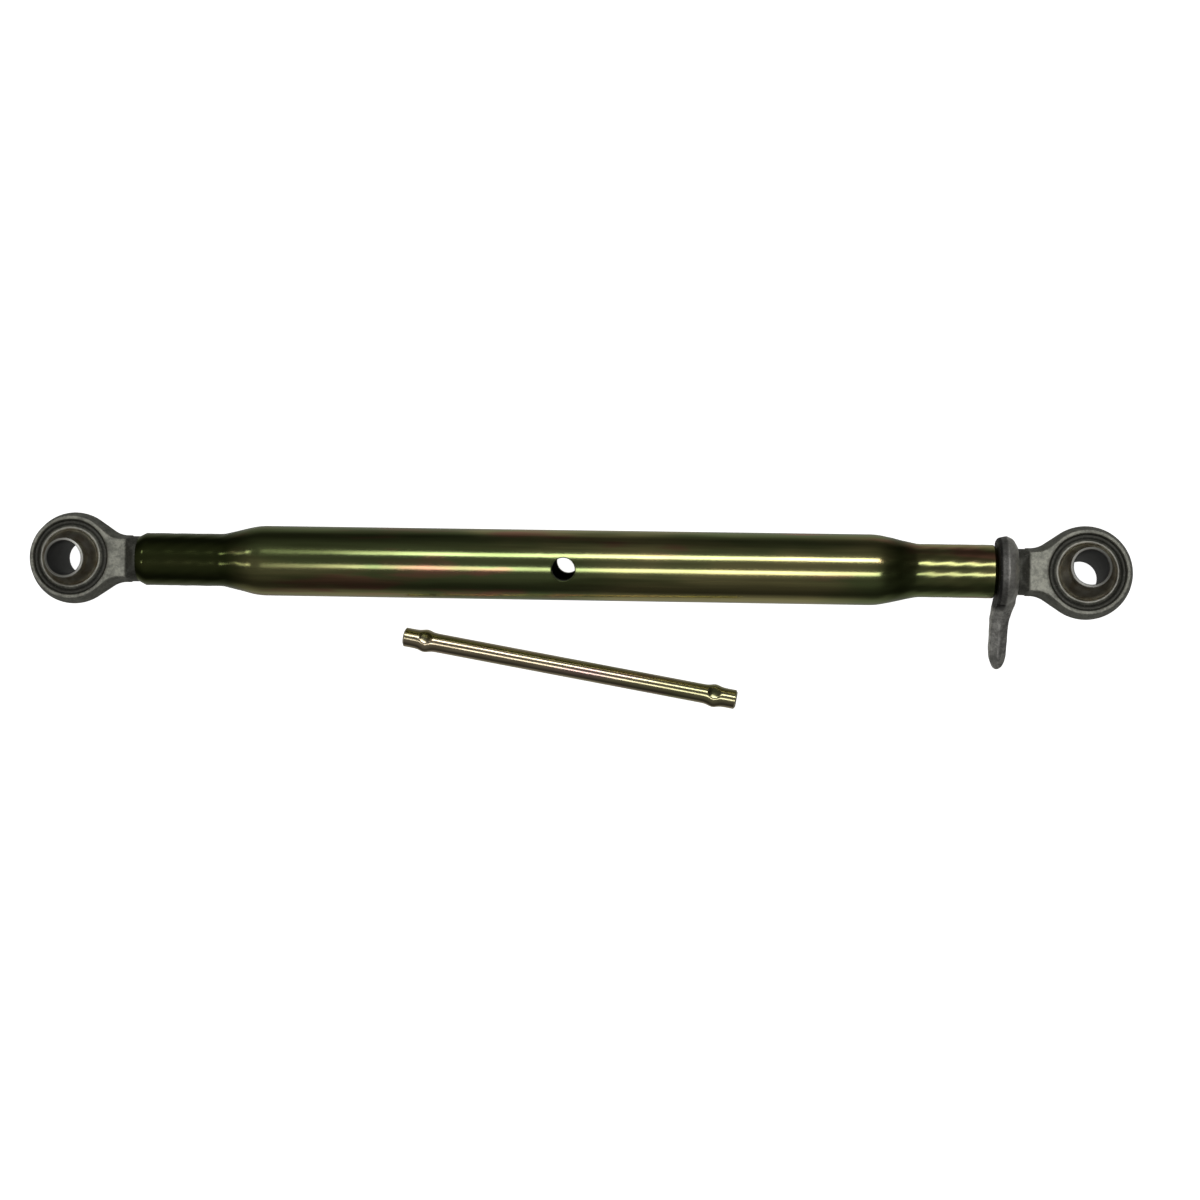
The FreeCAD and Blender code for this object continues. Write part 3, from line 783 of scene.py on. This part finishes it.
class BuildBarrel(bpy.types.Operator):
    """Build the swaged barrel with its cross hole"""

    bl_idname = "toplink.barrel"
    bl_label = "Barrel"

    def execute(self, context):
        settings = context.scene.toplink_barrel
        length = BARREL_HIGH[0] - BARREL_LOW[0]
        middle = CROSS_HOLE_CENTRE[0] - BARREL_LOW[0]
        left_outside, left_inside = swaged_end(settings, 0)
        right_outside, right_inside = swaged_end(settings, 1)
        patch = 13.0
        hole_stop = [(middle - patch, TUBE_RADIUS, 0), (middle + patch, TUBE_RADIUS, 0)]
        bore_stop = [(middle + patch, TUBE_BORE_RADIUS, 0), (middle - patch, TUBE_BORE_RADIUS, 0)]

        def mirrored(corners):
            return [(length - x, r, radius) for x, r, radius in reversed(corners)]

        runs = [
            sampled_outline(left_outside + hole_stop[:1], 2.0),
            sampled_outline(hole_stop, 2 * patch / HOLE_PATCH_ROWS)[1:-1],
            sampled_outline(hole_stop[1:] + mirrored(right_outside), 2.0),
            sampled_outline(mirrored(right_inside) + bore_stop[:1], 2.0),
            sampled_outline(bore_stop, 2 * patch / HOLE_PATCH_ROWS)[1:-1],
            sampled_outline(bore_stop[1:] + left_inside, 2.0),
        ]
        starts = np.concatenate([[0], np.cumsum([len(run) for run in runs])])
        profile = np.concatenate(runs)
        turn = math.atan2(CROSS_HOLE_AXIS[2], CROSS_HOLE_AXIS[1])
        angle = turn + np.arange(BARREL_COLUMNS) * 2 * math.pi / BARREL_COLUMNS
        rows = len(profile)
        grid = about_x(profile[:, :1], profile[:, 1:], angle)
        # hammer ripple left by the swaging dies on the ends and tapers
        on_outside = (np.arange(rows) < starts[3])[:, None]
        end_distance = np.minimum(profile[:, :1], length - profile[:, :1])
        swaged = np.clip((72 - end_distance) / 12, 0, 1) * np.clip(end_distance / 3, 0, 1) * on_outside
        ripple = 0.035 * swaged * (waves(grid, 7.0, 3) + np.sin(angle * 14 + profile[:, :1] * 0.5))
        grid[..., 1:] *= (1 + ripple / np.maximum(profile[:, 1:], 1))[..., None]
        points = [grid.reshape(-1, 3)]
        # Painted shade: the bore's inside is painted near-black, and the hole's wall partly so.
        painted_bore_shade = [np.repeat(np.arange(rows) >= starts[3], BARREL_COLUMNS)]
        quads = grid_quads(rows, BARREL_COLUMNS, wrap_rows=True)
        keep = np.ones(len(quads), bool)
        row_of = quads[:, 0] // BARREL_COLUMNS
        column_of = quads[:, 0] % BARREL_COLUMNS
        faces = []
        count = rows * BARREL_COLUMNS
        half = HOLE_PATCH_COLUMNS // 2
        for hole_column in (0, BARREL_COLUMNS // 2):
            rims = []
            for surface, radius in ((0, TUBE_RADIUS), (3, TUBE_BORE_RADIUS)):
                first, last = starts[surface + 1] - 1, starts[surface + 2]
                columns = (hole_column + np.arange(-half, half + 1)) % BARREL_COLUMNS
                from_hole = (column_of - hole_column + half) % BARREL_COLUMNS
                keep &= (row_of < first) | (row_of >= last) | (from_hole >= HOLE_PATCH_COLUMNS)
                side = np.arange(first, last + 1)
                if profile[first, 0] > profile[last, 0]:
                    side = side[::-1]
                ends = np.full(2 * half, side[0]), np.full(2 * half, side[-1])
                ring_rows = np.concatenate([ends[0], side[:-1], ends[1], side[:0:-1]])
                edges = np.full(len(side) - 1, columns[-1]), np.full(len(side) - 1, columns[0])
                ring_columns = np.concatenate([columns[:-1], edges[0], columns[:0:-1], edges[1]])
                ids = ring_rows * BARREL_COLUMNS + ring_columns
                hole_angle = angle[hole_column]
                half_turn = BARREL_COLUMNS // 2
                offset = (ring_columns - hole_column + half_turn) % BARREL_COLUMNS - half_turn
                ring_angle = hole_angle + offset * 2 * math.pi / BARREL_COLUMNS
                ring = np.stack([profile[ring_rows, 0], ring_angle], 1)
                rim = CROSS_HOLE_RADIUS + (HOLE_EDGE if surface == 0 else 0)
                patch_points = hole_patch(ring, middle, hole_angle, radius, rim)
                size = len(ids)
                patch_ids = count + np.arange(len(patch_points) * size).reshape(-1, size)
                table = np.concatenate([patch_ids, ids[None]])
                faces.append(table_quads(table))
                points.append(patch_points.reshape(-1, 3))
                painted_bore_shade.append(np.full(patch_points[..., 0].size, surface == 3))
                count += patch_points[..., 0].size
                rims.append((patch_ids[0], patch_points[0]))
            outer_ids, outer = rims[0]
            inner_ids = rims[1][0]
            axis_y, axis_z = math.cos(hole_angle), math.sin(hole_angle)
            across = np.array([0, -axis_z, axis_y])
            drop = np.array([0, axis_y, axis_z])
            around_hole = np.arctan2(outer @ across, outer[:, 0] - middle)
            rim_plan = CROSS_HOLE_RADIUS * np.stack([np.cos(around_hole), np.sin(around_hole)], 1)
            rim_plan[:, 0] += middle
            level = np.sqrt(TUBE_RADIUS**2 - rim_plan[:, 1] ** 2) - HOLE_EDGE
            edge = rim_plan[:, :1] * [1, 0, 0] + rim_plan[:, 1:] * across + level[:, None] * drop
            edge_ids = count + np.arange(len(edge))
            points.append(edge)
            # The hole's wall takes 0.7 of the painted bore shade.
            painted_bore_shade.append(np.full(len(edge), 0.7))
            count += len(edge)
            faces.append(table_quads(np.stack([outer_ids, edge_ids, inner_ids])))
        everything = np.concatenate(points)
        from_left = everything[:, 0]
        taper_end = sum(lengths[0] for lengths in (settings.swage_lengths, settings.taper_lengths)) / MM
        right_swage = length - settings.swage_lengths[1] / MM
        # The left end's darker film and painted shade, and the right taper's painted shade.
        smoked, pebbled = barrel_finish(from_left - taper_end, from_left - right_swage)
        everything = everything + [BARREL_LOW[0], 0, 0]
        plating = zinc_plate("yellow_zinc_barrel", settings.gold, settings.olive, settings.rose, 4.0)
        barrel = new_piece(
            "swaged_barrel", everything, [quads[keep], *faces], "barrel", plating, 32.0,
            {"inside": np.concatenate(painted_bore_shade), "smoked": smoked, "pebbled": pebbled},
        )
        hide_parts("turnbuckle_barrel")
        return {"FINISHED"}


# The plating's darkening and pebbling: distances in mm past the left taper's end or the right swage's
# start, each with the length over which it fades and the share that it takes. The darkened left end
# is partly a darker film and partly painted shade; the band on the right taper is painted shade.
DARK_END_EDGE, DARK_END_EDGE_FADE, DARK_END_EDGE_SHARE = 16, 14, 0.62
DARK_END_TAIL_FADE, DARK_END_TAIL_SHARE = 130, 0.38
TAPER_SHADE_BAND, TAPER_SHADE_BAND_WIDTH, TAPER_SHADE_BAND_SHARE = 10, 8.5, 0.9
PEBBLE_RISE, PEBBLE_FADE = 6, 62
SWAGE_PEBBLE_RISE, SWAGE_PEBBLE_SHARE = 3, 0.5


def faded(distance, length):
    """0 up to distance 0, rising to 1 at the length."""
    return np.clip(distance / length, 0, 1)


def barrel_finish(past_taper, past_swage):
    """How darkened and how pebbled the plating is at each point along the barrel. The dark left end stands
    partly for a darker film and partly for painted shade, and the band on the right taper is painted shade.
    """
    # The left end is dark, partly a darker film and partly painted shade, fading out along the tube.
    smoked = 1 - faded(past_taper + DARK_END_EDGE, DARK_END_EDGE_FADE) * DARK_END_EDGE_SHARE
    smoked = smoked - faded(past_taper, DARK_END_TAIL_FADE) * DARK_END_TAIL_SHARE
    # Painted shade across the right taper.
    taper_shade = np.exp(-(((past_swage + TAPER_SHADE_BAND) / TAPER_SHADE_BAND_WIDTH) ** 2)) * TAPER_SHADE_BAND_SHARE
    pebbled = faded(past_taper + PEBBLE_RISE, PEBBLE_RISE) * np.clip(1 - past_taper / PEBBLE_FADE, 0, 1)
    swage_pebbled = SWAGE_PEBBLE_SHARE * faded(past_swage, SWAGE_PEBBLE_RISE)
    return np.maximum(smoked, taper_shade), np.maximum(pebbled, swage_pebbled)


def table_quads(table):
    """Quads between neighbouring rows of a table of point numbers whose rows close on themselves."""
    upper, lower = table[:-1], table[1:]
    quads = [upper, np.roll(upper, -1, 1), np.roll(lower, -1, 1), lower]
    return np.stack(quads, -1).reshape(-1, 4)


# ---------------------------------------------------------------------------------------
# Lock nut


def merged_copy(node):
    """A copy of a node's mesh with its loose triangles joined."""
    mesh = frame["nodes"][node].data.copy()
    shape = bmesh.new()
    shape.from_mesh(mesh)
    bmesh.ops.remove_doubles(shape, verts=shape.verts, dist=2e-6)
    shape.to_mesh(mesh)
    shape.free()
    return mesh


class BuildLockNut(bpy.types.Operator):
    """Build the forged lock nut with its lever"""

    bl_idname = "toplink.lock_nut"
    bl_label = "Lock nut"

    def execute(self, context):
        steel = forged_steel("forged_nut_steel", (0.60, 0.59, 0.56), 6.0)
        rough = bpy.data.objects.new("lock_nut_blank", merged_copy("lever_lock_nut"))
        context.scene.collection.objects.link(rough)
        remesh = rough.modifiers.new("even", "REMESH")
        remesh.mode = "VOXEL"
        remesh.voxel_size = 0.42 * MM
        smooth = rough.modifiers.new("forged_softness", "SMOOTH")
        smooth.factor = 0.5
        smooth.iterations = 6
        evaluated = rough.evaluated_get(context.evaluated_depsgraph_get())
        mesh = bpy.data.meshes.new_from_object(evaluated)
        bpy.data.objects.remove(rough)
        places = np.zeros(len(mesh.vertices) * 3)
        normals = np.zeros(len(mesh.vertices) * 3)
        mesh.vertices.foreach_get("co", places)
        mesh.vertices.foreach_get("normal", normals)
        places, normals = places.reshape(-1, 3), normals.reshape(-1, 3)
        uneven = 0.07 * waves(places / MM, 6.0, 21) + 0.03 * waves(places / MM, 2.2, 22)
        places += normals * uneven[:, None] * MM
        mesh.vertices.foreach_set("co", places.ravel())
        radius = np.hypot(places[:, 1], places[:, 2]) / MM
        on_ring = np.clip((23.0 - radius) / 3.0, 0, 1)
        # Painted shade on the ring's side that faces the barrel and a painted highlight on its side that
        # faces the eye, chosen by which way each point's normal faces.
        towards_barrel = np.clip(-normals[:, 0] * 2.2 + 0.25, 0, 1)
        towards_eye = np.clip(normals[:, 0] * 2.0, 0, 1)
        finish = {"recess": on_ring * towards_barrel, "rubbed": on_ring * towards_eye * 0.45}
        for key, values in finish.items():
            layer = mesh.attributes.new(key, "FLOAT", "POINT")
            layer.data.foreach_set("value", values.astype(np.float32))
        finish_mesh(mesh, 60.0)
        nut = place_piece("lever_nut_forging", mesh, "lock_nut", steel)
        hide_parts("lever_lock_nut")
        return {"FINISHED"}


# ---------------------------------------------------------------------------------------
# Tommy bar

BAR_RADIUS = 5.5
BAR_LENGTH = 195.0
BAR_HEADING = math.radians(-9.7)
EAR_FROM_END = 13.0
EAR_RISE = 1.35
EAR_LENGTH_FADE = 3.4
EAR_ANGLE_FADE = 0.62
DIMPLE_DEPTH = 0.9
DIMPLE_RADIUS = 3.9
PINCH_LEAN = math.radians(22.0)


def tommy_bar_surface(columns=72):
    """The bar along X: its radius plus a soft bulge at each pinched ear and less a round
    dimple at right angles to it, with rounded ends."""
    half = BAR_LENGTH / 2
    ends = sampled_outline([(half - 25, BAR_RADIUS, 0), (half, BAR_RADIUS, 0.9), (half, 1.0, 0)], 0.5)
    middle = np.stack([np.linspace(-half + 26, half - 26, 60), np.full(60, BAR_RADIUS)], 1)
    profile = np.concatenate([ends[::-1] * [-1, 1], middle, ends])
    x, radius = profile[:, :1], profile[:, 1:]
    angle = np.linspace(0, 2 * math.pi, columns, endpoint=False)
    pinch = math.pi / 2 - PINCH_LEAN
    near = np.abs(x) - (half - EAR_FROM_END)
    from_pinch = (angle - pinch + math.pi / 2) % math.pi - math.pi / 2
    from_ear = (angle - pinch) % math.pi - math.pi / 2
    ear = EAR_RISE * np.exp(-((near / EAR_LENGTH_FADE) ** 2))
    ear = ear * np.exp(-((from_ear / EAR_ANGLE_FADE) ** 2))
    spread = np.hypot(near, from_pinch * BAR_RADIUS)
    dimple = DIMPLE_DEPTH * np.clip(1 - (spread / DIMPLE_RADIUS) ** 2, 0, 1)
    bulged = radius + (ear - dimple) * (radius > BAR_RADIUS - 0.1)
    # Painted shade in the pinched dimples and on the bar's rounded ends.
    end_shade = np.clip((np.abs(x) - half + 0.9) / 0.6, 0, 1)
    smoked = np.maximum(0.7 * dimple / DIMPLE_DEPTH, end_shade)
    return about_x(x, bulged, angle), np.broadcast_to(smoked, bulged.shape)


class BuildTommyBar(bpy.types.Operator):
    """Build the loose tommy bar"""

    bl_idname = "toplink.tommy_bar"
    bl_label = "Tommy bar"

    def execute(self, context):
        surface, smoked = tommy_bar_surface()
        rows, columns = surface.shape[:2]
        half = BAR_LENGTH / 2
        tips = np.array([[-half, 0, 0], [half, 0, 0]])
        points = np.concatenate([surface.reshape(-1, 3), tips])
        turn = np.array(Matrix.Rotation(BAR_HEADING, 3, "Z"))
        centre = (BAR_LOW + BAR_HIGH) / 2
        centre[2] = BAR_LOW[2] + BAR_RADIUS
        points = points @ turn.T + centre
        first, last = np.arange(columns), (rows - 1) * columns + np.arange(columns)
        faces = [grid_quads(rows, columns), fan(first, rows * columns), fan(last, rows * columns + 1)]
        gold, olive, rose = (0.78, 0.66, 0.46), (0.52, 0.50, 0.27), (0.66, 0.46, 0.42)
        plating = zinc_plate("yellow_zinc_bar", gold, olive, rose, 8.0)
        finish = {
            # Painted shade in the dimples and on the ends, full at the end tips.
            "smoked": np.concatenate([smoked.ravel(), [1, 1]]),
            "pebbled": np.full(len(points), 0.35),
        }
        bar = new_piece(
            "pinched_bar", points, faces, "loose_tommy_bar", plating, 35.0, finish
        )
        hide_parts("tommy_bar")
        return {"FINISHED"}


# ---------------------------------------------------------------------------------------
# Stage

VIEW_YAW = math.radians(-3.56)
VIEW_PITCH = math.radians(-2.60)
VIEW_ROLL = math.radians(-1.08)
VIEW_SHIFT = (-0.0154, 0.0197)
STRIP_HEIGHT = 1.6
DOME_RADIUS = 8.0


class SetStage(bpy.types.Operator):
    """Set the floor, the lights and the camera"""

    bl_idname = "toplink.stage"
    bl_label = "Stage"

    def execute(self, context):
        settings = context.scene.toplink_stage
        self.set_camera(context, settings)
        self.set_floor(context, settings)
        self.set_lights(context)
        context.scene.view_settings.view_transform = "Standard"
        return {"FINISHED"}

    def set_camera(self, context, settings):
        """Camera almost straight above the link's middle, with the link's axes turned by
        yaw about Y, then pitch about X, then roll about Z in its view."""
        turn = (
            Matrix.Rotation(VIEW_ROLL, 4, "Z")
            @ Matrix.Rotation(VIEW_PITCH, 4, "X")
            @ Matrix.Rotation(VIEW_YAW, 4, "Y")
        )
        middle = Vector((LEFT_CENTRE + RIGHT_CENTRE) / 2 * MM)
        back = Matrix.Translation((*VIEW_SHIFT, -settings.camera_distance))
        view = back @ turn @ Matrix.Translation(-middle)
        data = bpy.data.cameras.new("view")
        data.lens = settings.lens
        data.sensor_width = 36.0
        camera = bpy.data.objects.new("view", data)
        context.scene.collection.objects.link(camera)
        camera.matrix_world = view.inverted()
        context.scene.camera = camera

    def set_floor(self, context, settings):
        """A white floor and a white dome over it, which the metal doesn't mirror."""
        sheet = Sheet("pale_floor")
        material = sheet.finish(
            Base_Color=settings.floor_colour, Roughness=0.9, Emission_Color=(1, 1, 1), Emission_Strength=1.0
        )
        level = (TABLE_HEIGHT - 0.05) * MM
        turn = np.linspace(0, 2 * math.pi, 64, endpoint=False)
        rise = np.linspace(0, math.pi / 2, 17)[:-1, None]
        ring = [np.cos(turn) * np.cos(rise), np.sin(turn) * np.cos(rise), np.sin(rise)]
        dome = DOME_RADIUS * np.stack(np.broadcast_arrays(*ring), -1) + [0, 0, level]
        top = dome.shape[0] * dome.shape[1]
        points = np.concatenate([dome.reshape(-1, 3), [[0, 0, level + DOME_RADIUS]]])
        quads = grid_quads(*dome.shape[:2]).tolist() + fan(np.arange(top - 64, top), top).tolist()
        for name, faces in (("floor", [list(range(64))]), ("backdrop", quads)):
            mesh = bpy.data.meshes.new(name)
            mesh.from_pydata(points.tolist(), [], faces)
            mesh.materials.append(material)
            surface = bpy.data.objects.new(name, mesh)
            context.scene.collection.objects.link(surface)
            surface.visible_glossy = False
            surface.visible_shadow = False
            surface.visible_diffuse = name == "floor"

    def set_lights(self, context):
        """Two long strips over the link in a dim room. The room is darkest at the horizon
        and towards +X, and paler below it, where a bench would be."""
        world = bpy.data.worlds.new("studio")
        context.scene.world = world
        sheet = Sheet("studio", world)
        direction = sheet.add("ShaderNodeTexCoord", {}, {}, "Generated")
        away, side, up = (sheet.add("ShaderNodeSeparateXYZ", {}, {0: direction}, axis) for axis in "XYZ")
        below = up.ramp(-0.08, -0.75)
        above = up.ramp(0.05, 0.75)
        level = 0.035 + above * 0.075 + below * 0.24
        level = level * (1 - away.ramp(0.25, 0.6) * 0.8 * above)
        tone = sheet.mix(level.clipped(), (0, 0, 0), (1, 1, 0.94))
        sheet.feed(world.node_tree.nodes["Background"].inputs["Color"], tone)
        middle = Vector((LEFT_CENTRE + RIGHT_CENTRE) / 2 * MM)
        lights = (
            ("high_strip", 27.0, 10.0, -0.44, 0.75, 5.0),
            ("low_strip", -18.4, 10.5, -0.44, 0.75, 3.2),
            ("far_high_strip", 27.0, 8.0, -1.55, -1.25, 3.5),
            ("far_low_strip", -18.4, 8.0, -1.55, -1.25, 2.5),
        )
        for name, lean, width, start, stop, radiance in lights:
            near, far = (STRIP_HEIGHT * math.tan(math.radians(lean + side * width / 2)) for side in (-1, 1))
            data = bpy.data.lights.new(name, "AREA")
            data.shape = "RECTANGLE"
            data.size, data.size_y = stop - start, far - near
            data.energy = radiance * math.pi * data.size * data.size_y
            light = bpy.data.objects.new(name, data)
            context.scene.collection.objects.link(light)
            light.location = middle + Vector(((start + stop) / 2, (near + far) / 2, STRIP_HEIGHT))


# ---------------------------------------------------------------------------------------
# Panel and registration

STEPS = (BuildBarrel, BuildEndRods, BuildBalls, BuildLockNut, BuildTommyBar, SetStage)
SETTINGS = (
    ("toplink_barrel", BarrelSettings),
    ("toplink_rods", RodSettings),
    ("toplink_stage", StageSettings),
)


class TopLinkPanel(bpy.types.Panel):
    """Lists the steps of the top link"""

    bl_idname = "VIEW3D_PT_toplink"
    bl_label = "Top link"
    bl_space_type = "VIEW_3D"
    bl_region_type = "UI"
    bl_category = "Top link"

    def draw(self, context):
        for name, group in SETTINGS:
            box = self.layout.box()
            for key in group.__annotations__:
                box.prop(getattr(context.scene, name), key)
        for step in STEPS:
            self.layout.operator(step.bl_idname)


def register():
    for name, group in SETTINGS:
        bpy.utils.register_class(group)
        setattr(bpy.types.Scene, name, PointerProperty(type=group))
    for step in (*STEPS, TopLinkPanel):
        bpy.utils.register_class(step)


def unregister():
    for step in (TopLinkPanel, *reversed(STEPS)):
        bpy.utils.unregister_class(step)
    for name, group in reversed(SETTINGS):
        delattr(bpy.types.Scene, name)
        bpy.utils.unregister_class(group)


def main():
    register()
    bpy.ops.toplink.barrel()
    bpy.ops.toplink.end_rods()
    bpy.ops.toplink.balls()
    bpy.ops.toplink.lock_nut()
    bpy.ops.toplink.tommy_bar()
    bpy.ops.toplink.stage()


if __name__ == "__main__":
    main()
